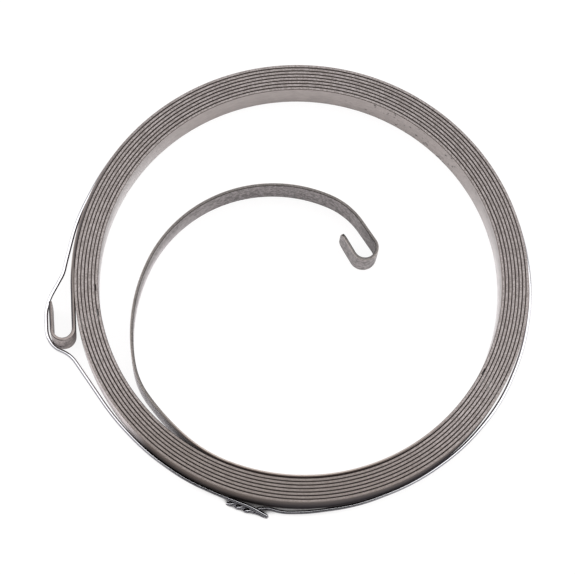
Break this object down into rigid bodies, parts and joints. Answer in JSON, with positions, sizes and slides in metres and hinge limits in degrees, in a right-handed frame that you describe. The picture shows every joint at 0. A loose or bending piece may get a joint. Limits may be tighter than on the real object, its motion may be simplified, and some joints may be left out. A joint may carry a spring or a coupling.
{
  "type": "recoil starter spring",
  "caption": "Flat spiral spring of thin steel strip with a hook at each end, wound tight and held closed by a retaining wire twisted to itself.",
  "frame": {"origin": "on the coil's axis, level with the lower edge of the strip, on the surface that the spring lies on", "axes": "+Z is the coil's axis, pointing up from the lower edge to the upper edge; seen from above, the strip winds outward counter-clockwise; +X points right and -Y toward the twisted ends of the wire"},
  "size_m": [0.0702, 0.0689, 0.005],
  "materials": {
    "spring_steel": "cold-rolled spring steel strip, satin, warm grey, with slit edges lighter than its faces",
    "bright_wire": "bright drawn steel wire, smooth and reflective"
  },
  "bodies": {
    "root": {"spring_strip": "spring_steel", "retaining_wire": "bright_wire"}
  },
  "joints": []
}
